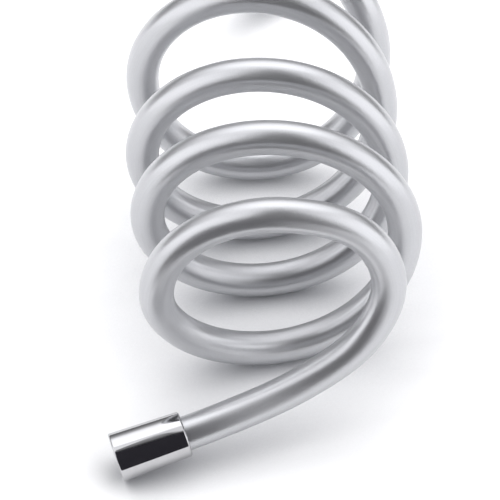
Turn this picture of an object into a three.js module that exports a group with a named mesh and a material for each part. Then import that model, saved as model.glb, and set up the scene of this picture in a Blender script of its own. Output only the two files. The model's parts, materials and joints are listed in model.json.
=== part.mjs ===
// Flexible shower hose: a smooth silver hose lying in an open coil, its loops standing on the floor,
// with a free-spinning coupling nut at the near end and a cone nut at the far end.
// Units are millimetres. X is right, Y is away from the viewer, Z is up, and the floor is Z = 0.
import * as THREE from 'three';

// Hose
const hoseDiameter = 16.6;
const hoseBore = 10.4;
const hoseSides = 12;

// Standard half-inch pipe thread, inside both nuts
const threadMinorDiameter = 18.64;
const threadMajorDiameter = 20.96;

// Clearances between pieces that touch or run on each other
const seatGap = 0.3;
const spinGap = 0.35;
const webGap = 0.45;

// Ends of the thread: the relief behind it is a little deeper, and runs out short of the collar
const reliefDepth = 0.1;
const threadRunOut = 0.5;
const threadToCollar = 0.4;

// Shared sizes of both end fittings, measured along the axis from the mouth of the nut
const nutMouthDiameter = 24;
const washerThickness = 2;
const washerHole = 8;
const collarThickness = 1.8;
const glideRingThickness = 0.8;
const webThickness = 2.8;
const ferruleLip = 0.6;
const ferruleWall = 0.45;
const neckDiameter = 12;
const waterwayDiameter = 6.4;
const washerFront = 9.1;
const barbCount = 4;
const barbDepth = 0.6;
const barbStep = 0.4;
const stemLead = 1;

// Near fitting: coupling nut with a slight taper
const frontNut = {
  length: 34.8,
  backDiameter: 22.1,
  straight: 1.2,
  mouthChamfer: 0.5,
  backChamfer: 0.7,
  ferruleLength: 12.5,
  tailReach: 31.5,
  hoseStraight: 9,
};

// Far fitting: cone nut that takes the handset
const rearNut = {
  length: 40,
  backDiameter: 20.8,
  straight: 10,
  mouthChamfer: 0.5,
  backChamfer: 0.6,
  ferruleLength: 17,
  tailReach: 36,
  hoseStraight: 5,
};

// The coil, by the centre line of the hose: half the width of its widest turn, the mean distance
// from turn to turn, and the height of its highest crest
const coilHalfWidth = 67.1;
const coilPitch = 44;
const coilCrest = 143.3;

// Places along the route are shares of those three: across, back and up.
// The near nut's mouth rests on the floor and the hose lifts its back
const frontMouth = { across: -1.061, back: -4.361 };
const frontHeading = 16.5;
const frontPitch = 10.8;

// The far nut lies on its side on the floor, mouth to the right
const rearMouth = { across: 0.627, back: 4.416 };
const rearHeading = 219;

// The hose from the near nut up to the first turn
const frontLead = [
  [0.232, -3.655, 0.202],
  [0.689, -3.350, 0.326],
  [0.860, -3.175, 0.530],
  [0.636, -3.120, 0.742],
];

// One row per turn: right side, left side and crest, and how far back each side stands
const turns = [
  { right: 0.999, left: -0.784, crest: 0.823, rightBack: -3.202, leftBack: -3.064 },
  { right: 1.000, left: -0.867, crest: 0.848, rightBack: -2.152, leftBack: -1.861 },
  { right: 0.925, left: -0.920, crest: 0.872, rightBack: -1.216, leftBack: -0.898 },
  { right: 0.863, left: -0.937, crest: 0.946, rightBack: -0.280, leftBack: 0.293 },
  { right: 0.829, left: -0.937, crest: 1.000, rightBack: 0.570, leftBack: 0.850 },
];
const pointsPerTurn = 16;
const firstCoilPoint = 4;
const lastCoilPoint = 65;

// The hose from the last turn, over its crest and down to the floor behind the coil
const rearLead = [
  [0.569, 0.768, 0.858],
  [0.286, 1.109, 0.963],
  [-0.042, 1.564, 0.977],
  [-0.355, 2.064, 0.879],
  [-0.534, 2.450, 0.698],
  [-0.548, 2.745, 0.447],
  [-0.399, 3.086, 0.230],
  [-0.146, 3.427, 0.112],
];

const leadStep = 26;
const latheSides = 60;

const hoseRadius = hoseDiameter / 2;
const boreRadius = hoseBore / 2;
const nutMouthRadius = nutMouthDiameter / 2;
const threadRadius = threadMinorDiameter / 2;
const reliefRadius = threadMajorDiameter / 2 + reliefDepth;
const neckRadius = neckDiameter / 2;
const waterwayRadius = waterwayDiameter / 2;
const facetShrink = Math.cos(Math.PI / latheSides);
const boreApothem = boreRadius * Math.cos(Math.PI / hoseSides);
const ferruleInner = (hoseRadius + seatGap) / facetShrink;
const ferruleOuter = ferruleInner + ferruleWall;
const skirtRadius = (ferruleOuter + spinGap) / facetShrink;

// Stations along a fitting, counted from the mouth
const station = {};
station.washerBack = washerFront + washerThickness;
station.collarFront = station.washerBack + seatGap;
station.collarBack = station.collarFront + collarThickness;
station.glideFront = station.collarBack + seatGap;
station.glideBack = station.glideFront + glideRingThickness;
station.webFront = station.glideBack + seatGap;
station.webBack = station.webFront + webThickness;
station.ferruleFront = station.webBack + seatGap;
station.hoseEnd = station.ferruleFront + ferruleLip + seatGap;

const finish = (color, roughness, metalness) => (
  new THREE.MeshStandardMaterial({ color, roughness, metalness })
);

const finishes = {
  hose: () => finish(0xc9cbcd, 0.35, 0.1),
  chrome: () => finish(0xdadcde, 0.08, 1),
  brass: () => finish(0xb5934a, 0.3, 1),
  steel: () => finish(0xb9bbbd, 0.3, 1),
  nylon: () => finish(0xeceae4, 0.5, 0),
  rubber: () => finish(0x1f1f20, 0.8, 0),
};

function named(name, geometry, material) {
  const mesh = new THREE.Mesh(geometry, material);
  mesh.name = name;
  return mesh;
}

// A ring-shaped solid from a closed outline of [radius, station] pairs
function revolve(outline) {
  const closed = [...outline, outline[0]].reverse();
  const corners = closed.map(([radius, along]) => new THREE.Vector2(radius, along));
  return new THREE.LatheGeometry(corners, latheSides);
}

function outerRadiusAt(nut, along) {
  const backRadius = nut.backDiameter / 2;
  const share = Math.max(0, (along - nut.straight) / (nut.length - nut.straight));
  return nutMouthRadius + (backRadius - nutMouthRadius) * share;
}

function nutGeometry(nut) {
  const threadChamfer = reliefRadius - threadRadius + reliefDepth;
  const threadEnd = station.collarFront - threadToCollar;
  const webRadius = neckRadius + webGap;
  return revolve([
    [threadRadius, threadChamfer],
    [threadRadius, threadEnd],
    [reliefRadius, threadEnd + threadRunOut],
    [reliefRadius, station.webFront],
    [webRadius, station.webFront],
    [webRadius, station.webBack],
    [skirtRadius, station.webBack],
    [skirtRadius, nut.length],
    [outerRadiusAt(nut, nut.length) - nut.backChamfer, nut.length],
    [outerRadiusAt(nut, nut.length - nut.backChamfer), nut.length - nut.backChamfer],
    [outerRadiusAt(nut, nut.straight), nut.straight],
    [nutMouthRadius, nut.mouthChamfer],
    [nutMouthRadius - nut.mouthChamfer, 0],
    [threadRadius + threadChamfer, 0],
  ]);
}

function washerGeometry() {
  const outer = threadRadius - seatGap;
  return revolve([
    [washerHole / 2, washerFront],
    [washerHole / 2, station.washerBack],
    [outer, station.washerBack],
    [outer, washerFront],
  ]);
}

function glideRingGeometry() {
  const inner = neckRadius + spinGap;
  const outer = threadRadius - seatGap;
  return revolve([
    [inner, station.glideFront],
    [inner, station.glideBack],
    [outer, station.glideBack],
    [outer, station.glideFront],
  ]);
}

// The tail: a sealing collar, a neck that the nut and the ferrule run on, and a barbed stem in the hose
function tailGeometry(reach) {
  const stemRadius = boreApothem - seatGap;
  const collarRadius = threadRadius - seatGap;
  const neckEnd = station.ferruleFront + ferruleLip;
  const barbLength = (reach - neckEnd - stemLead) / barbCount;
  const outline = [
    [waterwayRadius, station.collarFront],
    [waterwayRadius, reach],
    [stemRadius - barbDepth, reach],
  ];
  for (let barb = 0; barb < barbCount; barb += 1) {
    const tip = reach - (barb + 1) * barbLength;
    outline.push([stemRadius, tip]);
    outline.push([stemRadius - barbDepth, tip - barbStep]);
  }
  outline.push([stemRadius - barbDepth, neckEnd]);
  outline.push([neckRadius, neckEnd]);
  outline.push([neckRadius, station.collarBack]);
  outline.push([collarRadius, station.collarBack]);
  outline.push([collarRadius, station.collarFront]);
  return revolve(outline);
}

// The ferrule: a thin cup pressed over the end of the hose, its lip round the neck of the tail
function ferruleGeometry(length) {
  const lipInner = (neckRadius + seatGap) / facetShrink;
  const lipBack = station.ferruleFront + ferruleLip;
  const end = station.ferruleFront + length;
  return revolve([
    [lipInner, station.ferruleFront],
    [lipInner, lipBack],
    [ferruleInner, lipBack],
    [ferruleInner, end],
    [ferruleOuter, end],
    [ferruleOuter, station.ferruleFront],
  ]);
}

// Direction from the mouth of a nut towards its hose
function fittingAxis(heading, pitch) {
  const turn = THREE.MathUtils.degToRad(heading);
  const rise = THREE.MathUtils.degToRad(pitch);
  const level = Math.cos(rise);
  return new THREE.Vector3(level * Math.cos(turn), level * Math.sin(turn), Math.sin(rise));
}

function fitting(prefix, nut, mouth, axis) {
  const group = new THREE.Group();
  group.position.copy(mouth);
  group.quaternion.setFromUnitVectors(new THREE.Vector3(0, 1, 0), axis);
  group.add(named(`${prefix}_nut`, nutGeometry(nut), finishes.chrome()));
  group.add(named(`${prefix}_washer`, washerGeometry(), finishes.rubber()));
  group.add(named(`${prefix}_glide_ring`, glideRingGeometry(), finishes.nylon()));
  group.add(named(`${prefix}_tail`, tailGeometry(nut.tailReach), finishes.brass()));
  group.add(named(`${prefix}_ferrule`, ferruleGeometry(nut.ferruleLength), finishes.steel()));
  return group;
}

// One point of the coil. Step 0 is the right side of a turn, a quarter turn on is its crest.
function coilPoint(index) {
  const turn = Math.floor(index / pointsPerTurn);
  const share = (index % pointsPerTurn) / pointsPerTurn;
  const angle = share * 2 * Math.PI;
  const here = turns[turn];
  const next = turns[Math.min(turn + 1, turns.length - 1)];
  const right = share < 0.5 ? here.right : next.right;
  const crest = (share < 0.75 ? here.crest : next.crest) * coilCrest;
  const middle = (right + here.left) / 2;
  const reach = (right - here.left) / 2;
  const back = share < 0.5
    ? THREE.MathUtils.lerp(here.rightBack, here.leftBack, share * 2)
    : THREE.MathUtils.lerp(here.leftBack, next.rightBack, share * 2 - 1);
  return new THREE.Vector3(
    (middle + reach * Math.cos(angle)) * coilHalfWidth,
    back * coilPitch,
    hoseRadius + ((crest - hoseRadius) / 2) * (1 + Math.sin(angle)),
  );
}

// Even steps along a smooth curve through the listed points, both ends included
function leadPoints(points) {
  const curve = new THREE.CatmullRomCurve3(points);
  return curve.getSpacedPoints(Math.round(curve.getLength() / leadStep));
}

// A curve that is stepped point by point, so that each turn has a step at its lowest point
class RouteCurve extends THREE.CatmullRomCurve3 {
  getPointAt(share, target) {
    return this.getPoint(share, target);
  }

  getTangentAt(share, target) {
    return this.getTangent(share, target);
  }
}

function routePoints(frontAlong, rearAlong) {
  const coil = [];
  for (let index = firstCoilPoint; index <= lastCoilPoint; index += 1) {
    coil.push(coilPoint(index));
  }
  const placed = ([across, back, up]) => (
    new THREE.Vector3(across * coilHalfWidth, back * coilPitch, up * coilCrest)
  );
  const frontStart = frontAlong(frontNut.length + frontNut.hoseStraight);
  const rearStart = rearAlong(rearNut.length + rearNut.hoseStraight);
  return [
    frontAlong(station.hoseEnd),
    ...leadPoints([frontStart, ...frontLead.map(placed), coil[0]]),
    ...coil.slice(1, -1),
    ...leadPoints([coil[coil.length - 1], ...rearLead.map(placed), rearStart]),
    rearAlong(station.hoseEnd),
  ];
}

function ringShape(outer, inner) {
  const corner = (radius, index) => {
    const angle = (index * 2 * Math.PI) / hoseSides;
    return new THREE.Vector2(radius * Math.cos(angle), radius * Math.sin(angle));
  };
  const corners = (radius) => Array.from({ length: hoseSides }, (unused, index) => corner(radius, index));
  const shape = new THREE.Shape(corners(outer));
  shape.holes.push(new THREE.Path(corners(inner)));
  return shape;
}

function hoseGeometry(points) {
  return new THREE.ExtrudeGeometry(ringShape(hoseRadius, boreRadius), {
    steps: points.length - 1,
    curveSegments: 1,
    extrudePath: new RouteCurve(points),
  });
}

const frontAxis = fittingAxis(frontHeading, frontPitch);
const frontOrigin = new THREE.Vector3(
  frontMouth.across * coilHalfWidth,
  frontMouth.back * coilPitch,
  nutMouthRadius * Math.cos(THREE.MathUtils.degToRad(frontPitch)),
);

// The far nut lies on its cone, so its axis drops from the mouth towards the hose
const coneFall = nutMouthRadius - rearNut.backDiameter / 2;
const coneSlope = Math.atan(coneFall / (rearNut.length - rearNut.straight));
const rearAxis = fittingAxis(rearHeading, -THREE.MathUtils.radToDeg(coneSlope));
const rearOrigin = new THREE.Vector3(
  rearMouth.across * coilHalfWidth,
  rearMouth.back * coilPitch,
  nutMouthRadius / Math.cos(coneSlope) + rearNut.straight * Math.sin(coneSlope),
);

const frontAlong = (along) => frontOrigin.clone().addScaledVector(frontAxis, along);
const rearAlong = (along) => rearOrigin.clone().addScaledVector(rearAxis, along);

const showerHose = new THREE.Group();
showerHose.add(named('hose', hoseGeometry(routePoints(frontAlong, rearAlong)), finishes.hose()));
showerHose.add(fitting('front', frontNut, frontOrigin, frontAxis));
showerHose.add(fitting('rear', rearNut, rearOrigin, rearAxis));

export default showerHose;
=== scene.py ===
"""Shower hose: a smooth silver hose in a standing coil, with a chrome coupling nut and a cone nut.

The route of the hose repeats the one in the part's source, in metres. Both end fittings are placed
by the axes of their spin joints in the frame.
"""

import json
import logging
import math
from dataclasses import dataclass, field
from enum import Enum
from typing import Callable, Sequence

import bmesh
import bpy
import numpy as np
from mathutils import Matrix, Vector

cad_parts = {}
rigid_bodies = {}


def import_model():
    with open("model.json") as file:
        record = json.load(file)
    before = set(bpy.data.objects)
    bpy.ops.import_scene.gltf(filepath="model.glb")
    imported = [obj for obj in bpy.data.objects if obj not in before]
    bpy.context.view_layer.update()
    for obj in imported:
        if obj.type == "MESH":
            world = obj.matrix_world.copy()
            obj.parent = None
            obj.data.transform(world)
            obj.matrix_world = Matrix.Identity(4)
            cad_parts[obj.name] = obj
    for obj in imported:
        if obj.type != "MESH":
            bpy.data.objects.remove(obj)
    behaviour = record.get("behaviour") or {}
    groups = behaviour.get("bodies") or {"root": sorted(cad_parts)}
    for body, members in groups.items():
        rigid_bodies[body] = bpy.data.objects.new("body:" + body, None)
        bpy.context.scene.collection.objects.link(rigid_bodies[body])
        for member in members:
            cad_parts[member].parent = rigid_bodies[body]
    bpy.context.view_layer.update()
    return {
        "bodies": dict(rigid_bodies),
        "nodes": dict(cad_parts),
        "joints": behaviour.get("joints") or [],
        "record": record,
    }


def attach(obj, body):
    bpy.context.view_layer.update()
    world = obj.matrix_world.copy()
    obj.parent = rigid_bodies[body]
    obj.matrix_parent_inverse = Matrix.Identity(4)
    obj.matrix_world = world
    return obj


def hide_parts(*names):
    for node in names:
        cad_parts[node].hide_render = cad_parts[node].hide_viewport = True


log = logging.getLogger("shower_hose")

Outline = list[tuple[float, float]]
Triple = tuple[float, float, float]
Socket = bpy.types.NodeSocket

# How close points are merged, in metres, and how sharp edges are rounded
MERGE_DISTANCE = 1e-6
FINE_MERGE_DISTANCE = 1e-7
ROUNDING_ANGLE = 25.0
ROUNDING_SEGMENTS = 2


class End(Enum):
    """The two ends of the hose."""

    COUPLING = "front"
    CONE = "rear"


class Body(Enum):
    """The bodies that the pieces move with."""

    HOSE = "hose_line"
    COUPLING_NUT = "coupling_nut"
    CONE_NUT = "cone_nut"


@dataclass(frozen=True)
class Turn:
    """One turn of the coil, in shares of the coil's size."""

    right: float
    left: float
    crest: float
    right_back: float
    left_back: float


@dataclass(frozen=True)
class CoilSize:
    """The coil by the centre line of the hose, in metres."""

    half_width: float = 0.0671
    pitch: float = 0.044
    crest: float = 0.1433

    def place(self, across: float, back: float, up: float) -> Vector:
        """A place along the route, given in shares of the three sizes."""
        return Vector((across * self.half_width, back * self.pitch, up * self.crest))


@dataclass(frozen=True)
class HoseSize:
    """Sizes of the hose, in metres, and the angle below which it is shaded smooth, in degrees.

    Its bore is open for a few rings at each end.
    """

    diameter: float = 0.0166
    bore: float = 0.0104
    length: float = 2.0
    ring_step: float = 0.003
    sides: int = 40
    bore_rings: int = 3
    smooth_angle: float = 50.0

    @property
    def radius(self) -> float:
        """Outer radius."""
        return self.diameter / 2


@dataclass(frozen=True)
class ThreadSize:
    """Half-inch parallel pipe thread and the shape that cuts it, in metres."""

    minor: float = 0.00932
    major: float = 0.01048
    pitch: float = 0.001814
    crest: float = 0.0004
    root: float = 0.0003
    cutter_over: float = 0.0002
    cutter_turns: int = 7
    steps: int = 72


@dataclass(frozen=True)
class NutSize:
    """Outside of one nut, in metres from its mouth."""

    length: float
    back_radius: float
    straight: float
    mouth_radius: float = 0.012
    mouth_chamfer: float = 0.0005
    back_chamfer: float = 0.0007
    ferrule_length: float = 0.0125
    tail_reach: float = 0.0315


@dataclass(frozen=True)
class Stations:
    """Where the inner pieces of a fitting stand along its axis, in metres from the mouth."""

    washer_front: float = 0.0091
    washer_back: float = 0.0111
    collar_front: float = 0.0114
    collar_back: float = 0.0132
    glide_front: float = 0.0135
    glide_back: float = 0.0143
    web_front: float = 0.0146
    web_back: float = 0.0174
    ferrule_front: float = 0.0177
    lip_back: float = 0.0183
    hose_end: float = 0.0186


def deselect() -> None:
    """Leaves edit mode and deselects everything."""
    if bpy.context.object and bpy.context.object.mode != "OBJECT":
        bpy.ops.object.mode_set(mode="OBJECT")
    bpy.ops.object.select_all(action="DESELECT")


def pick(piece: bpy.types.Object) -> None:
    """Makes one object the only selected and the active one."""
    deselect()
    piece.select_set(True)
    bpy.context.view_layer.objects.active = piece


def apply_modifier(piece: bpy.types.Object, name: str) -> None:
    """Applies one modifier of a piece."""
    pick(piece)
    bpy.ops.object.modifier_apply(modifier=name)


def smooth(piece: bpy.types.Object, degrees: float = 35) -> None:
    """Shades a piece smooth, apart from edges sharper than the angle."""
    pick(piece)
    bpy.ops.object.shade_smooth_by_angle(angle=math.radians(degrees))


def place(piece: bpy.types.Object, matrix: Matrix) -> None:
    """Puts a piece in its place, and that place into its mesh."""
    piece.matrix_world = matrix
    pick(piece)
    bpy.ops.object.transform_apply(location=True, rotation=True, scale=True)


def turned(name: str, outline: Outline, rounding: float, sides: int = 96) -> bpy.types.Object:
    """Makes a ring-shaped piece along +Z: a circle, extruded and scaled from corner to corner.

    Args:
        name: The piece's name.
        outline: Corners as (radius, height), in order round the section.
        rounding: Width of the rounding on each sharp edge, in metres.
        sides: How many sides the circle has.

    Returns:
        The finished mesh object.
    """
    deselect()
    radius, height = outline[0]
    bpy.ops.mesh.primitive_circle_add(
        vertices=sides, radius=radius, location=(0, 0, height), fill_type="NOTHING"
    )
    piece = bpy.context.object
    piece.name = name
    bpy.ops.object.transform_apply(location=True)
    bpy.ops.object.mode_set(mode="EDIT")
    bpy.ops.mesh.select_all(action="SELECT")
    for next_radius, next_height in [*outline[1:], outline[0]]:
        rise = (0, 0, next_height - height)
        bpy.ops.mesh.extrude_region_move(TRANSFORM_OT_translate={"value": rise})
        scale = next_radius / radius
        bpy.ops.transform.resize(value=(scale, scale, 1), center_override=(0, 0, next_height))
        radius, height = next_radius, next_height
    bpy.ops.mesh.select_all(action="SELECT")
    bpy.ops.mesh.remove_doubles(threshold=MERGE_DISTANCE)
    bpy.ops.mesh.normals_make_consistent(inside=False)
    bpy.ops.object.mode_set(mode="OBJECT")
    edges = piece.modifiers.new("rounding", "BEVEL")
    edges.width = rounding
    edges.segments = ROUNDING_SEGMENTS
    edges.limit_method = "ANGLE"
    edges.angle_limit = math.radians(ROUNDING_ANGLE)
    apply_modifier(piece, "rounding")
    return piece


@dataclass
class Shader:
    """A small helper that adds nodes to one material or world."""

    tree: bpy.types.NodeTree

    def add(self, kind: str, **settings: object) -> bpy.types.Node:
        """Adds a node and sets its properties and, by name, its input values."""
        node = self.tree.nodes.new(kind)
        for key, value in settings.items():
            if hasattr(node, key):
                setattr(node, key, value)
            else:
                node.inputs[key.replace("_", " ")].default_value = value
        return node

    def link(self, source: Socket, target: Socket) -> None:
        """Joins two sockets."""
        self.tree.links.new(source, target)

    def math(self, operation: str, first: object, second: object = None) -> Socket:
        """Adds a math node over sockets or numbers and returns its result."""
        node = self.add("ShaderNodeMath", operation=operation)
        for socket, value in zip(node.inputs, (first, second)):
            if isinstance(value, bpy.types.NodeSocket):
                self.link(value, socket)
            elif value is not None:
                socket.default_value = value
        return node.outputs[0]

    def noise(self, vector: Socket, scale: float | Triple, detail: float) -> Socket:
        """Adds a noise texture, with one scale or one for each axis, and returns its grey value."""
        even = not isinstance(scale, tuple)
        node = self.add("ShaderNodeTexNoise", Scale=scale if even else 1, Detail=detail)
        self.link(vector if even else self.stretch(vector, scale), node.inputs["Vector"])
        return node.outputs["Fac"]

    def stretch(self, vector: Socket, scale: Triple) -> Socket:
        """Scales a coordinate along each axis."""
        node = self.add("ShaderNodeMapping", Scale=scale)
        self.link(vector, node.inputs["Vector"])
        return node.outputs["Vector"]

    def spread(
        self, value: Socket, low: float, high: float, start: float = 0.3, end: float = 0.7
    ) -> Socket:
        """Maps a grey value from the span between start and end onto a range of numbers."""
        node = self.add("ShaderNodeMapRange")
        self.link(value, node.inputs["Value"])
        ends = {"From Min": start, "From Max": end, "To Min": low, "To Max": high}
        for name, number in ends.items():
            node.inputs[name].default_value = number
        return node.outputs["Result"]

    def tint(self, value: Socket, stops: Sequence[tuple[float, Triple]]) -> Socket:
        """Maps a grey value onto colours."""
        node = self.add("ShaderNodeValToRGB")
        ramp = node.color_ramp
        while len(ramp.elements) < len(stops):
            ramp.elements.new(0.5)
        for element, (position, colour) in zip(ramp.elements, stops):
            element.position = position
            element.color = (*colour, 1)
        self.link(value, node.inputs["Fac"])
        return node.outputs["Color"]

    def bump(self, height: Socket, strength: float, distance: float) -> Socket:
        """Adds a bump node and returns its normal."""
        node = self.add("ShaderNodeBump", Strength=strength, Distance=distance)
        self.link(height, node.inputs["Height"])
        return node.outputs["Normal"]


@dataclass(frozen=True)
class Finish:
    """A finish that every piece of one kind of material shares.

    Its colour runs from dark to light over a span of one pattern, and its roughness from smoothest to
    roughest over another. The relief is a bump, with its depth in metres.
    """

    name: str
    slot: str
    dark: Triple
    light: Triple
    smoothest: float
    roughest: float
    relief: float
    relief_depth: float
    tone_span: tuple[float, float] = (0.3, 0.7)
    metal: float = 1.0

    def dress(self, piece: bpy.types.Object) -> None:
        """Gives a piece this finish."""
        material = bpy.data.materials.get(self.name) or self.material()
        piece.data.materials.clear()
        piece.data.materials.append(material)

    def material(self) -> bpy.types.Material:
        """Makes the material."""
        material = bpy.data.materials.new(self.name)
        material.use_nodes = True
        shader = Shader(material.node_tree)
        principled = material.node_tree.nodes["Principled BSDF"]
        tone, gloss, height = self.patterns(shader)
        start, end = self.tone_span
        colour = shader.tint(tone, [(start, self.dark), (end, self.light)])
        rough = shader.spread(gloss, self.smoothest, self.roughest)
        normal = shader.bump(height, self.relief, self.relief_depth)
        shader.link(colour, principled.inputs["Base Color"])
        shader.link(rough, principled.inputs["Roughness"])
        shader.link(normal, principled.inputs["Normal"])
        principled.inputs["Metallic"].default_value = self.metal
        return material

    def patterns(self, shader: Shader) -> tuple[Socket, Socket, Socket]:
        """The grey patterns that give the colour, the roughness and the relief."""
        raise NotImplementedError


@dataclass(frozen=True)
class SilverSkin(Finish):
    """Smooth silver plastic of the hose: satin, with a fine grain and faint draw lines along it."""

    name: str = "silver_skin"
    slot: str = "silver_hose"
    dark: Triple = (0.510, 0.515, 0.531)
    light: Triple = (0.560, 0.565, 0.582)
    smoothest: float = 0.28
    roughest: float = 0.34
    relief: float = 1.0
    relief_depth: float = 0.00006
    tone_span: tuple[float, float] = (0.35, 0.65)
    metal: float = 0.83
    line_scale: Triple = (1500, 25, 1)
    mottle_scale: Triple = (110, 70, 1)
    grain_scale: Triple = (700, 1700, 1)
    line_share: float = 0.35
    mottle_share: float = 0.3
    grain_share: float = 0.35
    gloss_share: float = 0.5

    def patterns(self, shader: Shader) -> tuple[Socket, Socket, Socket]:
        """Draw lines, mottle and grain, across and along the hose."""
        skin = shader.add("ShaderNodeUVMap", uv_map="skin").outputs["UV"]
        lines = shader.noise(skin, self.line_scale, 2)
        mottle = shader.noise(skin, self.mottle_scale, 4)
        grain = shader.noise(skin, self.grain_scale, 2)
        line_tone = shader.math("MULTIPLY", lines, self.line_share)
        mottle_tone = shader.math("MULTIPLY", mottle, self.mottle_share)
        grain_tone = shader.math("MULTIPLY", grain, self.grain_share)
        tone = shader.math("ADD", shader.math("ADD", line_tone, mottle_tone), grain_tone)
        grain_gloss = shader.math("MULTIPLY", grain, self.gloss_share)
        mottle_gloss = shader.math("MULTIPLY", mottle, self.gloss_share)
        return tone, shader.math("ADD", grain_gloss, mottle_gloss), grain


@dataclass(frozen=True)
class ChromePlate(Finish):
    """Mirror-bright chrome plate with faint polishing marks and the odd smudge."""

    name: str = "chrome_plate"
    slot: str = "chrome"
    dark: Triple = (0.49, 0.49, 0.50)
    light: Triple = (0.52, 0.52, 0.53)
    smoothest: float = 0.03
    roughest: float = 0.07
    relief: float = 0.015
    relief_depth: float = 0.00002
    tone_span: tuple[float, float] = (0.35, 0.65)
    smudge_scale: float = 140
    mark_scale: Triple = (900, 900, 2600)

    def patterns(self, shader: Shader) -> tuple[Socket, Socket, Socket]:
        """Smudges in the colour and the gloss, and polishing marks in the relief."""
        place_in = shader.add("ShaderNodeTexCoord").outputs["Object"]
        smudge = shader.noise(place_in, self.smudge_scale, 4)
        return smudge, smudge, shader.noise(place_in, self.mark_scale, 3)


@dataclass(frozen=True)
class TurnedBrass(Finish):
    """Bare turned brass, a little dulled."""

    name: str = "turned_brass"
    slot: str = "brass"
    dark: Triple = (0.52, 0.36, 0.14)
    light: Triple = (0.72, 0.55, 0.25)
    smoothest: float = 0.24
    roughest: float = 0.42
    relief: float = 0.08
    relief_depth: float = 0.00003
    dulling_scale: float = 260
    mark_scale: Triple = (300, 300, 4000)

    def patterns(self, shader: Shader) -> tuple[Socket, Socket, Socket]:
        """Dulling in the colour and the gloss, and tool marks in the relief."""
        place_in = shader.add("ShaderNodeTexCoord").outputs["Object"]
        dulling = shader.noise(place_in, self.dulling_scale, 5)
        return dulling, dulling, shader.noise(place_in, self.mark_scale, 3)


@dataclass(frozen=True)
class PressedSteel(Finish):
    """Thin stainless steel, bright from the press."""

    name: str = "pressed_steel"
    slot: str = "steel"
    dark: Triple = (0.50, 0.50, 0.51)
    light: Triple = (0.60, 0.60, 0.61)
    smoothest: float = 0.22
    roughest: float = 0.38
    relief: float = 0.05
    relief_depth: float = 0.00003
    grain_scale: Triple = (1600, 1600, 300)
    cloud_scale: float = 180

    def patterns(self, shader: Shader) -> tuple[Socket, Socket, Socket]:
        """Clouds in the colour, and rolling grain in the gloss and the relief."""
        place_in = shader.add("ShaderNodeTexCoord").outputs["Object"]
        grain = shader.noise(place_in, self.grain_scale, 4)
        return shader.noise(place_in, self.cloud_scale, 4), grain, grain


@dataclass(frozen=True)
class BlackRubber(Finish):
    """Matt black rubber with a fine bloom."""

    name: str = "black_rubber"
    slot: str = "rubber"
    dark: Triple = (0.012, 0.012, 0.013)
    light: Triple = (0.035, 0.035, 0.036)
    smoothest: float = 0.6
    roughest: float = 0.8
    relief: float = 0.25
    relief_depth: float = 0.00005
    tone_span: tuple[float, float] = (0.3, 0.75)
    metal: float = 0.0
    bloom_scale: float = 420
    grain_scale: float = 2400

    def patterns(self, shader: Shader) -> tuple[Socket, Socket, Socket]:
        """Bloom in the colour and the gloss, and moulding grain in the relief."""
        place_in = shader.add("ShaderNodeTexCoord").outputs["Object"]
        bloom = shader.noise(place_in, self.bloom_scale, 6)
        return bloom, bloom, shader.noise(place_in, self.grain_scale, 3)


@dataclass(frozen=True)
class NaturalNylon(Finish):
    """Off-white moulded nylon."""

    name: str = "natural_nylon"
    slot: str = "nylon"
    dark: Triple = (0.74, 0.71, 0.64)
    light: Triple = (0.82, 0.80, 0.74)
    smoothest: float = 0.4
    roughest: float = 0.5
    relief: float = 0.1
    relief_depth: float = 0.00005
    metal: float = 0.0
    cloud_scale: float = 300

    def patterns(self, shader: Shader) -> tuple[Socket, Socket, Socket]:
        """One cloud for the colour, the gloss and the relief."""
        place_in = shader.add("ShaderNodeTexCoord").outputs["Object"]
        cloud = shader.noise(place_in, self.cloud_scale, 4)
        return cloud, cloud, cloud


@dataclass
class Placement:
    """Where an end fitting lies: its mouth and the direction from the mouth to the hose."""

    mouth: Vector
    axis: Vector

    @classmethod
    def of_joint(cls, frame: dict, joint: str) -> "Placement":
        """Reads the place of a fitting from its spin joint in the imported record."""
        joints = frame["record"]["behaviour"]["joints"]
        found = next(item for item in joints if item["name"] == joint)
        return cls(Vector(found["pos_m"]), Vector(found["axis"]).normalized())

    def along(self, distance: float) -> Vector:
        """A point on the axis, at a distance from the mouth."""
        return self.mouth + self.axis * distance

    def matrix(self) -> Matrix:
        """Turns +Z onto the axis and moves the origin to the mouth."""
        turn = Vector((0, 0, 1)).rotation_difference(self.axis)
        return Matrix.Translation(self.mouth) @ turn.to_matrix().to_4x4()


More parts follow.
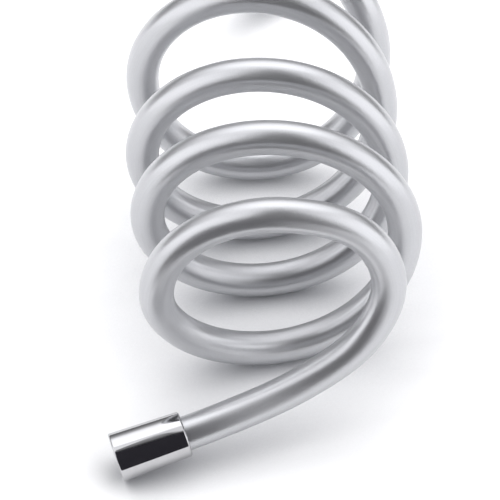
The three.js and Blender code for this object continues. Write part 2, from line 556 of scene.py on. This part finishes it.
@dataclass
class HoseRoute:
    """The line that the hose follows, from its coupling end to its cone end.

    The turns and the two leads are in shares of the coil's size. The straight ends are measured from
    the mouths of the nuts, and bends are evened out over the evening length, all in metres.
    """

    coupling: Placement
    cone: Placement
    size: HoseSize = field(default_factory=HoseSize)
    coil: CoilSize = field(default_factory=CoilSize)
    turns: tuple[Turn, ...] = (
        Turn(0.999, -0.784, 0.823, -3.202, -3.064),
        Turn(1.000, -0.867, 0.848, -2.152, -1.861),
        Turn(0.925, -0.920, 0.872, -1.216, -0.898),
        Turn(0.863, -0.937, 0.946, -0.280, 0.293),
        Turn(0.829, -0.937, 1.000, 0.570, 0.850),
    )
    front_lead: tuple[Triple, ...] = (
        (0.232, -3.655, 0.202),
        (0.689, -3.350, 0.326),
        (0.860, -3.175, 0.530),
        (0.636, -3.120, 0.742),
    )
    rear_lead: tuple[Triple, ...] = (
        (0.569, 0.768, 0.858),
        (0.286, 1.109, 0.963),
        (-0.042, 1.564, 0.977),
        (-0.355, 2.064, 0.879),
        (-0.534, 2.450, 0.698),
        (-0.548, 2.745, 0.447),
        (-0.399, 3.086, 0.230),
        (-0.146, 3.427, 0.112),
    )
    per_turn: int = 16
    first_index: int = 4
    last_index: int = 65
    coupling_straight: float = 0.0438
    cone_straight: float = 0.045
    evening: float = 0.006

    def coil_point(self, index: int) -> Vector:
        """A point of the coil. Index 0 is the right side of a turn, and its crest a quarter turn on."""
        number, step = divmod(index, self.per_turn)
        share = step / self.per_turn
        here = self.turns[number]
        after = self.turns[min(number + 1, len(self.turns) - 1)]
        right = here.right if share < 0.5 else after.right
        crest = (here.crest if share < 0.75 else after.crest) * self.coil.crest
        middle, reach = (right + here.left) / 2, (right - here.left) / 2
        if share < 0.5:
            back = here.right_back + (here.left_back - here.right_back) * share * 2
        else:
            back = here.left_back + (after.right_back - here.left_back) * (share * 2 - 1)
        angle = share * 2 * math.pi
        radius = self.size.radius
        return Vector((
            (middle + reach * math.cos(angle)) * self.coil.half_width,
            back * self.coil.pitch,
            radius + (crest - radius) / 2 * (1 + math.sin(angle)),
        ))

    def corners(self) -> list[Vector]:
        """The points that the line goes through."""
        end = Stations.hose_end
        coil = [self.coil_point(index) for index in range(self.first_index, self.last_index + 1)]
        return [
            self.coupling.along(end),
            self.coupling.along((end + self.coupling_straight) / 2),
            self.coupling.along(self.coupling_straight),
            *(self.coil.place(*point) for point in self.front_lead),
            *coil,
            *(self.coil.place(*point) for point in self.rear_lead),
            self.cone.along(self.cone_straight),
            self.cone.along((end + self.cone_straight) / 2),
            self.cone.along(end),
        ]

    def line(self) -> np.ndarray:
        """The smooth line, in even steps.

        Returns:
            One row of x, y and z for each ring of the hose.
        """
        rough = even_steps(catmull_rom(np.array(self.corners())), self.size.ring_step)
        return even_steps(relax(rough, self.evening / self.size.ring_step), self.size.ring_step)


def catmull_rom(points: np.ndarray, between: int = 12) -> np.ndarray:
    """Runs a centripetal Catmull-Rom curve through points.

    Args:
        points: The points, one a row.
        between: How many steps each span has.

    Returns:
        The points of the curve, one a row.
    """
    padded = np.vstack([2 * points[0] - points[1], points, 2 * points[-1] - points[-2]])
    spans = []
    for before, start, end, after in zip(padded, padded[1:], padded[2:], padded[3:]):
        spacing = (math.sqrt(np.linalg.norm(gap)) for gap in (start - before, end - start, after - end))
        first, middle, last = spacing
        straight = (end - start) / middle
        leave = ((start - before) / first - (end - before) / (first + middle) + straight) * middle
        reach = (straight - (after - start) / (middle + last) + (after - end) / last) * middle
        t = np.linspace(0, 1, between, endpoint=False)[:, None]
        cubic = 2 * start - 2 * end + leave + reach
        square = -3 * start + 3 * end - 2 * leave - reach
        spans.append(cubic * t**3 + square * t**2 + leave * t + start)
    return np.vstack([*spans, points[-1]])


def even_steps(line: np.ndarray, step: float) -> np.ndarray:
    """Divides a line into even steps of about one length."""
    travelled = np.concatenate([[0], np.cumsum(np.linalg.norm(np.diff(line, axis=0), axis=1))])
    marks = np.linspace(0, travelled[-1], round(travelled[-1] / step) + 1)
    return np.stack([np.interp(marks, travelled, line[:, axis]) for axis in range(3)], axis=1)


def relax(line: np.ndarray, width: float, tail: float = 3) -> np.ndarray:
    """Evens out the bends of a line, leaving its straight ends where they are.

    Args:
        line: The points of the line, one a row.
        width: Width of the bell curve of weights, in points.
        tail: How many widths the bell curve reaches to each side.

    Returns:
        The evened points, one a row.
    """
    reach = round(width * tail)
    weights = np.exp(-0.5 * (np.arange(-reach, reach + 1) / width) ** 2)
    weights /= weights.sum()
    start = line[0] - (line[1] - line[0]) * np.arange(reach, 0, -1)[:, None]
    end = line[-1] + (line[-1] - line[-2]) * np.arange(1, reach + 1)[:, None]
    padded = np.vstack([start, line, end])
    return np.stack([np.convolve(padded[:, axis], weights, "valid") for axis in range(3)], axis=1)


@dataclass
class Hose:
    """The hose itself: a tube with a real bore, open at both ends, swept along its route."""

    route: HoseRoute
    finish: Finish

    def build(self) -> tuple[bpy.types.Object, np.ndarray]:
        """Makes the hose.

        Returns:
            The piece, and the centres of its rings.
        """
        size = self.route.size
        line = self.route.line()
        across, up = ring_directions(line)
        angles = np.linspace(0, 2 * math.pi, size.sides, endpoint=False)
        sideways = np.cos(angles)[None, :, None] * across[:, None]
        upwards = np.sin(angles)[None, :, None] * up[:, None]
        circle = sideways + upwards
        outer = line[:, None] + circle * size.radius
        deep = size.bore_rings
        bore = {at: line[at][None] + circle[at] * size.bore / 2 for at in (deep, 0, -1, -1 - deep)}
        rings = [bore[deep], bore[0], *outer, bore[-1], bore[-1 - deep]]
        piece = self.mesh(rings)
        self.finish.dress(piece)
        smooth(piece, size.smooth_angle)
        return piece, line

    def mesh(self, rings: list[np.ndarray]) -> bpy.types.Object:
        """Joins rings of points into a tube, closed inside the bore, with a skin map in metres."""
        size = self.route.size
        vertices = np.vstack(rings)
        faces = []
        for ring in range(len(rings) - 1):
            for side in range(size.sides):
                ahead = (side + 1) % size.sides
                first, second = ring * size.sides, (ring + 1) * size.sides
                faces.append((first + side, first + ahead, second + ahead, second + side))
        faces.append(tuple(range(size.sides))[::-1])
        last = (len(rings) - 1) * size.sides
        faces.append(tuple(range(last, last + size.sides)))
        data = bpy.data.meshes.new("hose_skin")
        data.from_pydata([tuple(map(float, v)) for v in vertices], [], faces)
        skin = data.uv_layers.new(name="skin")
        girth = 2 * math.pi * size.radius
        for polygon in data.polygons:
            corners = [data.loops[index].vertex_index for index in polygon.loop_indices]
            sides = [corner % size.sides for corner in corners]
            wraps = max(sides) - min(sides) > size.sides / 2
            for loop, corner, side in zip(polygon.loop_indices, corners, sides):
                across = (side + size.sides if wraps and side == 0 else side) / size.sides * girth
                skin.data[loop].uv = (across, corner // size.sides * size.ring_step)
        piece = bpy.data.objects.new("hose_skin", data)
        bpy.context.scene.collection.objects.link(piece)
        pick(piece)
        bpy.ops.object.mode_set(mode="EDIT")
        bpy.ops.mesh.select_all(action="SELECT")
        bpy.ops.mesh.normals_make_consistent(inside=False)
        bpy.ops.object.mode_set(mode="OBJECT")
        return piece


def ring_directions(line: np.ndarray) -> tuple[np.ndarray, np.ndarray]:
    """Two directions across a line at each point, carried along it without twist.

    Args:
        line: The points of the line, one a row.

    Returns:
        The sideways and the upward direction at each point.
    """
    ahead = np.gradient(line, axis=0)
    ahead /= np.linalg.norm(ahead, axis=1)[:, None]
    side = np.cross(ahead[0], (0.0, 0.0, 1.0))
    side /= np.linalg.norm(side)
    sides = [side]
    for direction in ahead[1:]:
        side = side - direction * np.dot(side, direction)
        side = side / np.linalg.norm(side)
        sides.append(side)
    across = np.array(sides)
    return across, np.cross(across, ahead)


@dataclass
class EndFitting:
    """One end of the hose: nut, washer, glide ring, tail and ferrule, in metres.

    The hair is a tenth of a millimetre: relief behind the thread, play round neck and stem.
    """

    end: End
    nut: NutSize
    placement: Placement
    nut_body: Body
    hose: HoseSize = field(default_factory=HoseSize)
    thread: ThreadSize = field(default_factory=ThreadSize)
    stations: Stations = field(default_factory=Stations)
    washer_hole: float = 0.004
    neck: float = 0.006
    waterway: float = 0.0032
    seat_gap: float = 0.0003
    spin_gap: float = 0.00035
    hair: float = 0.0001
    thread_to_collar: float = 0.0004
    thread_run_out: float = 0.0005
    ferrule_wall: float = 0.00045
    barbs: int = 4
    barb_depth: float = 0.0006
    barb_step: float = 0.0004
    stem_lead: float = 0.001
    crimps: int = 3
    crimp_margin: float = 0.001
    crimp_depth: float = 0.00018
    crimp_half_width: float = 0.0007
    nut_rounding: float = 0.00015
    washer_rounding: float = 0.0003
    glide_ring_rounding: float = 0.00015
    tail_rounding: float = 0.00008
    ferrule_rounding: float = 0.00006

    def named(self, what: str) -> str:
        """The CAD node of one piece of this fitting."""
        return f"{self.end.value}_{what}"

    def label(self, what: str) -> str:
        """The name of one piece of this fitting."""
        return f"{self.end.name.lower()}_{what}"

    def outer_radius(self, along: float) -> float:
        """Outer radius of the nut at a distance from its mouth."""
        nut = self.nut
        share = max(0.0, (along - nut.straight) / (nut.length - nut.straight))
        return nut.mouth_radius + (nut.back_radius - nut.mouth_radius) * share

    def ferrule_radii(self) -> tuple[float, float]:
        """Inner and outer radius of the ferrule."""
        inner = self.hose.radius + self.seat_gap
        return inner, inner + self.ferrule_wall

    def nut_outline(self) -> Outline:
        """Section of the nut with a plain bore where the thread is cut."""
        nut, at, thread = self.nut, self.stations, self.thread
        relief = thread.major + self.hair
        mouth_chamfer = relief - thread.minor + self.hair
        thread_end = at.collar_front - self.thread_to_collar
        skirt = self.ferrule_radii()[1] + self.spin_gap
        web = self.neck + self.spin_gap + self.hair
        return [
            (thread.minor, mouth_chamfer),
            (thread.minor, thread_end),
            (relief, thread_end + self.thread_run_out),
            (relief, at.web_front),
            (web, at.web_front),
            (web, at.web_back),
            (skirt, at.web_back),
            (skirt, nut.length),
            (self.outer_radius(nut.length) - nut.back_chamfer, nut.length),
            (self.outer_radius(nut.length - nut.back_chamfer), nut.length - nut.back_chamfer),
            (self.outer_radius(nut.straight), nut.straight),
            (nut.mouth_radius, nut.mouth_chamfer),
            (nut.mouth_radius - nut.mouth_chamfer, 0),
            (thread.minor + mouth_chamfer, 0),
        ]

    def thread_cutter(self) -> bpy.types.Object:
        """A ridge wound in the shape of the thread's groove, from before the mouth to the relief."""
        thread = self.thread
        depth = thread.major - thread.minor
        over = thread.cutter_over
        mid = (thread.minor + thread.major - over) / 2
        deselect()
        bpy.ops.mesh.primitive_plane_add(
            size=1, location=(mid, 0, -thread.pitch), rotation=(math.pi / 2, 0, 0)
        )
        cutter = bpy.context.object
        cutter.scale = (depth + over, thread.pitch - thread.crest, 1)
        bpy.ops.object.transform_apply(location=True, rotation=True, scale=True)
        bpy.ops.object.mode_set(mode="EDIT")
        mesh = bmesh.from_edit_mesh(cutter.data)
        for vertex in mesh.verts:
            vertex.select_set(vertex.co.x > mid)
        mesh.select_flush_mode()
        bmesh.update_edit_mesh(cutter.data)
        narrow = thread.root / (thread.pitch - thread.crest)
        bpy.ops.transform.resize(value=(1, 1, narrow), center_override=(mid, 0, -thread.pitch))
        bpy.ops.object.mode_set(mode="OBJECT")
        winding = cutter.modifiers.new("winding", "SCREW")
        winding.axis = "Z"
        winding.screw_offset = thread.pitch
        winding.iterations = thread.cutter_turns
        winding.steps = winding.render_steps = thread.steps
        winding.use_merge_vertices = False
        apply_modifier(cutter, "winding")
        bpy.ops.object.mode_set(mode="EDIT")
        bpy.ops.mesh.select_all(action="SELECT")
        bpy.ops.mesh.remove_doubles(threshold=FINE_MERGE_DISTANCE)
        bpy.ops.mesh.fill_holes(sides=0)
        bpy.ops.mesh.select_all(action="SELECT")
        bpy.ops.mesh.normals_make_consistent(inside=False)
        bpy.ops.object.mode_set(mode="OBJECT")
        return cutter

    def build_nut(self) -> bpy.types.Object:
        """Makes the nut, with its thread cut."""
        nut = turned(self.label("nut"), self.nut_outline(), self.nut_rounding)
        cutter = self.thread_cutter()
        cut = nut.modifiers.new("thread", "BOOLEAN")
        cut.operation = "DIFFERENCE"
        cut.solver = "EXACT"
        cut.object = cutter
        apply_modifier(nut, "thread")
        bpy.data.objects.remove(cutter, do_unlink=True)
        return nut

    def build_washer(self) -> bpy.types.Object:
        """Makes the sealing washer."""
        at = self.stations
        outer = self.thread.minor - self.seat_gap
        outline = [
            (self.washer_hole, at.washer_front),
            (self.washer_hole, at.washer_back),
            (outer, at.washer_back),
            (outer, at.washer_front),
        ]
        return turned(self.label("washer"), outline, self.washer_rounding)

    def build_glide_ring(self) -> bpy.types.Object:
        """Makes the ring that the nut turns on."""
        at = self.stations
        inner = self.neck + self.spin_gap
        outer = self.thread.minor - self.seat_gap
        outline = [
            (inner, at.glide_front),
            (inner, at.glide_back),
            (outer, at.glide_back),
            (outer, at.glide_front),
        ]
        return turned(self.label("glide_ring"), outline, self.glide_ring_rounding)

    def build_tail(self) -> bpy.types.Object:
        """Makes the tail: a sealing collar, a neck and a barbed stem."""
        at = self.stations
        stem = self.hose.bore / 2 - self.seat_gap - self.hair
        root = stem - self.barb_depth
        collar = self.thread.minor - self.seat_gap
        reach = self.nut.tail_reach
        pitch = (reach - at.lip_back - self.stem_lead) / self.barbs
        outline = [(self.waterway, at.collar_front), (self.waterway, reach), (root, reach)]
        for barb in range(self.barbs):
            tip = reach - (barb + 1) * pitch
            outline += [(stem, tip), (root, tip - self.barb_step)]
        outline += [
            (root, at.lip_back),
            (self.neck, at.lip_back),
            (self.neck, at.collar_back),
            (collar, at.collar_back),
            (collar, at.collar_front),
        ]
        return turned(self.label("tail"), outline, self.tail_rounding)

    def build_ferrule(self) -> bpy.types.Object:
        """Makes the ferrule, with rings pressed into it."""
        at = self.stations
        inner, outer = self.ferrule_radii()
        end = at.ferrule_front + self.nut.ferrule_length
        pitch = (end - at.lip_back - 2 * self.crimp_margin) / self.crimps
        pressed = outer - self.crimp_depth
        groove = self.crimp_half_width
        lip = self.neck + self.seat_gap
        inside: Outline = [(lip, at.ferrule_front), (lip, at.lip_back), (inner, at.lip_back)]
        outside: Outline = [(outer, at.ferrule_front)]
        for crimp in range(self.crimps):
            middle = at.lip_back + self.crimp_margin + (crimp + 0.5) * pitch
            outside += [(outer, middle - groove), (pressed, middle - groove / 3)]
            outside += [(pressed, middle + groove / 3), (outer, middle + groove)]
        outline = [*inside, (inner, end), (outer, end), *outside[:0:-1], outside[0]]
        return turned(self.label("ferrule"), outline, self.ferrule_rounding)

    def build(self, finishes: dict[str, Finish]) -> list[bpy.types.Object]:
        """Makes, dresses and places the whole fitting.

        Args:
            finishes: The finish of each kind of piece.

        Returns:
            The pieces, the nut first.
        """
        makers: dict[str, tuple[Callable[[], bpy.types.Object], Body]] = {
            "nut": (self.build_nut, self.nut_body),
            "washer": (self.build_washer, self.nut_body),
            "glide_ring": (self.build_glide_ring, Body.HOSE),
            "tail": (self.build_tail, Body.HOSE),
            "ferrule": (self.build_ferrule, Body.HOSE),
        }
        made = []
        for what, (make, body) in makers.items():
            piece = make()
            finishes[what].dress(piece)
            place(piece, self.placement.matrix())
            smooth(piece)
            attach(piece, body.value)
            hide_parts(self.named(what))
            log.info("%s: %d faces", piece.name, len(piece.data.polygons))
            made.append(piece)
        return made


@dataclass(frozen=True)
class SideLight:
    """A tall soft light beside the camera.

    It is full within its core and gone at its edge, both half widths in degrees, and its level
    changes from the one below to the one above between two heights, in degrees above the horizon.
    """

    bearing: float
    core: float
    edge: float
    level_below: float
    level_above: float
    fade_from: float = 40.0
    fade_to: float = 60.0

    def glow(self, shader: Shader, bearing: Socket, height: Socket) -> Socket:
        """How bright this light is at a bearing and a height, both in radians and shares of one."""
        off = shader.math("ABSOLUTE", shader.math("SUBTRACT", bearing, math.radians(self.bearing)))
        width = shader.spread(off, 1, 0, math.radians(self.core), math.radians(self.edge))
        low = math.sin(math.radians(self.fade_from))
        high = math.sin(math.radians(self.fade_to))
        tall = shader.spread(height, self.level_below, self.level_above, low, high)
        return shader.math("MULTIPLY", width, tall)


@dataclass(frozen=True)
class Studio:
    """Camera, floor, dark card and light, in metres and degrees."""

    aim: Triple = (-0.0080, -0.0999, 0.0594)
    distance: float = 1.3622
    elevation: float = 43.52
    focal_pixels: float = 2825.0
    image_pixels: float = 500.0
    sensor: float = 36.0
    view_depth: float = 50.0
    floor_half: float = 3.0
    floor_drop: float = 0.0001
    floor_open: Triple = (0.985, 0.985, 0.985)
    # Painted shade: the floor greys from its open colour to the near colour where the pieces close it
    # in.
    floor_painted_shade: Triple = (0.580, 0.587, 0.607)
    painted_shade_share: float = 0.3
    floor_open_share: float = 0.85
    floor_roughness: float = 0.9
    floor_sheen: float = 0.1
    cloud_scale: float = 3.0
    cloud_share: float = 0.03
    # Reach and samples of the ambient occlusion that paints the shade on the floor.
    painted_shade_reach: float = 0.1
    painted_shade_samples: int = 8
    # Painted light: the floor glows, more where it is open and more towards the back.
    floor_painted_glow: float = 0.05
    painted_glow_span: tuple[float, float] = (0.60, 0.90)
    floor_painted_back_glow: float = 0.12
    painted_back_glow_span: tuple[float, float] = (-0.04, 0.10)
    card_colour: Triple = (0.044, 0.042, 0.050)
    card_front: float = -0.250
    card_left: float = -0.17
    card_right: float = 0.100
    card_height: float = 0.215
    card_fade_right: float = 0.10
    card_fade_top: float = 0.07
    strength: float = 2.24
    tone: Triple = (1.0, 1.0, 1.02)
    side_span: tuple[float, float] = (0.3, 0.9)
    side_share: float = 0.3
    side_lights: tuple[SideLight, ...] = (
        SideLight(-63, 31, 39, 0.76, 0.62),
        SideLight(69, 32, 40, 0.78, 0.54),
    )
    glow: tuple[tuple[float, float], ...] = (
        (0, 0.02),
        (56, 0.02),
        (64, 0.04),
        (72, 0.09),
        (82, 0.20),
        (91, 0.50),
        (99, 0.97),
        (106, 1.04),
        (116, 0.98),
        (130, 0.89),
        (139, 0.76),
        (148, 0.42),
        (157, 0.22),
        (170, 0.11),
        (180, 0.09),
    )

    def camera(self) -> None:
        """Makes the camera."""
        rise = math.radians(self.elevation)
        back = Vector((0, -math.cos(rise), math.sin(rise)))
        data = bpy.data.cameras.new("camera")
        data.sensor_width = self.sensor
        data.lens = self.sensor * self.focal_pixels / self.image_pixels
        data.clip_end = self.view_depth
        camera = bpy.data.objects.new("camera", data)
        camera.location = Vector(self.aim) + back * self.distance
        camera.rotation_euler = (-back).to_track_quat("-Z", "Y").to_euler()
        bpy.context.scene.collection.objects.link(camera)
        bpy.context.scene.camera = camera

    def floor(self) -> None:
        """Makes the pale floor, with painted shade that greys it close to the pieces and a painted glow
        that lightens it in the open and towards the back.
        """
        deselect()
        bpy.ops.mesh.primitive_plane_add(size=2 * self.floor_half, location=(0, 0, -self.floor_drop))
        floor = bpy.context.object
        floor.name = "floor"
        bpy.ops.object.transform_apply(location=True)
        material = bpy.data.materials.new("pale_floor")
        material.use_nodes = True
        shader = Shader(material.node_tree)
        principled = material.node_tree.nodes["Principled BSDF"]
        place_in = shader.add("ShaderNodeTexCoord").outputs["Object"]
        cloud = shader.math("MULTIPLY", shader.noise(place_in, self.cloud_scale, 2), self.cloud_share)
        # Painted shade: ambient occlusion greys the floor's colour close to the pieces.
        contact = shader.add(
            "ShaderNodeAmbientOcclusion", samples=self.painted_shade_samples, Distance=self.painted_shade_reach
        )
        level = shader.math("ADD", contact.outputs["AO"], cloud)
        stops = [(self.painted_shade_share, self.floor_painted_shade), (self.floor_open_share, self.floor_open)]
        shader.link(shader.tint(level, stops), principled.inputs["Base Color"])
        parts = shader.add("ShaderNodeSeparateXYZ")
        shader.link(place_in, parts.inputs[0])
        # Painted light: emission lightens the open floor and the floor towards the back.
        lift = shader.spread(level, 0, self.floor_painted_glow, *self.painted_glow_span)
        painted_back_glow = shader.spread(parts.outputs["Y"], 0, self.floor_painted_back_glow, *self.painted_back_glow_span)
        shader.link(shader.math("ADD", lift, painted_back_glow), principled.inputs["Emission Strength"])
        principled.inputs["Emission Color"].default_value = (1, 1, 1, 1)
        principled.inputs["Roughness"].default_value = self.floor_roughness
        principled.inputs["Specular IOR Level"].default_value = self.floor_sheen
        floor.data.materials.append(material)

    def card(self) -> None:
        """Stands a black card in front of the coil. It shows in reflections only.

        It fades out towards its right edge and its top.
        """
        deselect()
        middle = Vector(((self.card_left + self.card_right) / 2, self.card_front, self.card_height / 2))
        bpy.ops.mesh.primitive_plane_add(size=1, location=middle)
        card = bpy.context.object
        card.name = "black_card"
        card.rotation_euler = (math.pi / 2, 0, 0)
        card.scale = (self.card_right - self.card_left, self.card_height, 1)
        bpy.ops.object.transform_apply(location=True, rotation=True, scale=True)
        material = bpy.data.materials.new("black_card")
        material.use_nodes = True
        principled = material.node_tree.nodes["Principled BSDF"]
        principled.inputs["Base Color"].default_value = (*self.card_colour, 1)
        principled.inputs["Roughness"].default_value = 1.0
        principled.inputs["Specular IOR Level"].default_value = 0
        shader = Shader(material.node_tree)
        place_in = shader.add("ShaderNodeSeparateXYZ")
        shader.link(shader.add("ShaderNodeTexCoord").outputs["Object"], place_in.inputs[0])
        right, top = self.card_right, self.card_height
        beside = shader.spread(place_in.outputs["X"], 1, 0, right - self.card_fade_right, right)
        above = shader.spread(place_in.outputs["Z"], 1, 0, top - self.card_fade_top, top)
        shader.link(shader.math("MULTIPLY", beside, above), principled.inputs["Alpha"])
        card.data.materials.append(material)
        card.visible_camera = False
        card.visible_diffuse = False
        card.visible_shadow = False
        card.visible_transmission = False
        card.visible_volume_scatter = False

    def light(self) -> None:
        """Lights the scene from a soft box overhead and behind, and from two lights beside the camera.

        The angle of the soft box is 0 at the horizon behind the camera, 90 overhead and 180 at the
        far horizon. It fades towards the sides, and the camera's own side stays dark.
        """
        world = bpy.data.worlds.new("studio")
        world.use_nodes = True
        bpy.context.scene.world = world
        shader = Shader(world.node_tree)
        background = world.node_tree.nodes["Background"]
        direction = shader.add("ShaderNodeTexCoord").outputs["Generated"]
        parts = shader.add("ShaderNodeSeparateXYZ")
        shader.link(direction, parts.inputs[0])
        towards = shader.math("MULTIPLY", parts.outputs["Y"], -1.0)
        angle = shader.math("ARCTAN2", parts.outputs["Z"], towards)
        share = shader.math("DIVIDE", angle, math.pi)
        stops = [(degrees / 180, (level,) * 3) for degrees, level in self.glow]
        overhead = shader.tint(share, stops)
        aside = shader.math("ABSOLUTE", parts.outputs["X"])
        fade = shader.spread(aside, 1, self.side_share, *self.side_span)
        level = shader.math("MULTIPLY", overhead, fade)
        bearing = shader.math("ARCTAN2", parts.outputs["X"], towards)
        for side_light in self.side_lights:
            glow = side_light.glow(shader, bearing, parts.outputs["Z"])
            level = shader.math("MAXIMUM", level, glow)
        level = shader.math("MULTIPLY", level, self.strength)
        shader.link(level, background.inputs["Strength"])
        background.inputs["Color"].default_value = (*self.tone, 1)

    def build(self) -> None:
        """Makes the floor, the card and the light, and keeps colours as they are lit."""
        self.floor()
        self.card()
        self.light()
        bpy.context.scene.view_settings.view_transform = "Standard"


def main() -> None:
    """Builds the camera, the hose, both fittings and the studio, in that order."""
    logging.basicConfig(level=logging.INFO, format="%(name)s: %(message)s")
    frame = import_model()
    studio = Studio()
    studio.camera()
    coupling = Placement.of_joint(frame, "coupling_nut_spin")
    cone = Placement.of_joint(frame, "cone_nut_spin")
    hose = Hose(HoseRoute(coupling, cone), SilverSkin())
    skin, line = hose.build()
    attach(skin, Body.HOSE.value)
    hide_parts("hose")
    log.info("%s: %d faces", skin.name, len(skin.data.polygons))
    finishes: dict[str, Finish] = {
        "nut": ChromePlate(),
        "washer": BlackRubber(),
        "glide_ring": NaturalNylon(),
        "tail": TurnedBrass(),
        "ferrule": PressedSteel(),
    }
    coupling_nut = NutSize(length=0.0348, back_radius=0.01105, straight=0.0012)
    front = EndFitting(End.COUPLING, coupling_nut, coupling, Body.COUPLING_NUT)
    front.build(finishes)
    cone_nut = NutSize(
        length=0.040,
        back_radius=0.0104,
        straight=0.010,
        back_chamfer=0.0006,
        ferrule_length=0.017,
        tail_reach=0.036,
    )
    rear = EndFitting(End.CONE, cone_nut, cone, Body.CONE_NUT)
    rear_pieces = rear.build(finishes)
    studio.build()


if __name__ == "__main__":
    main()
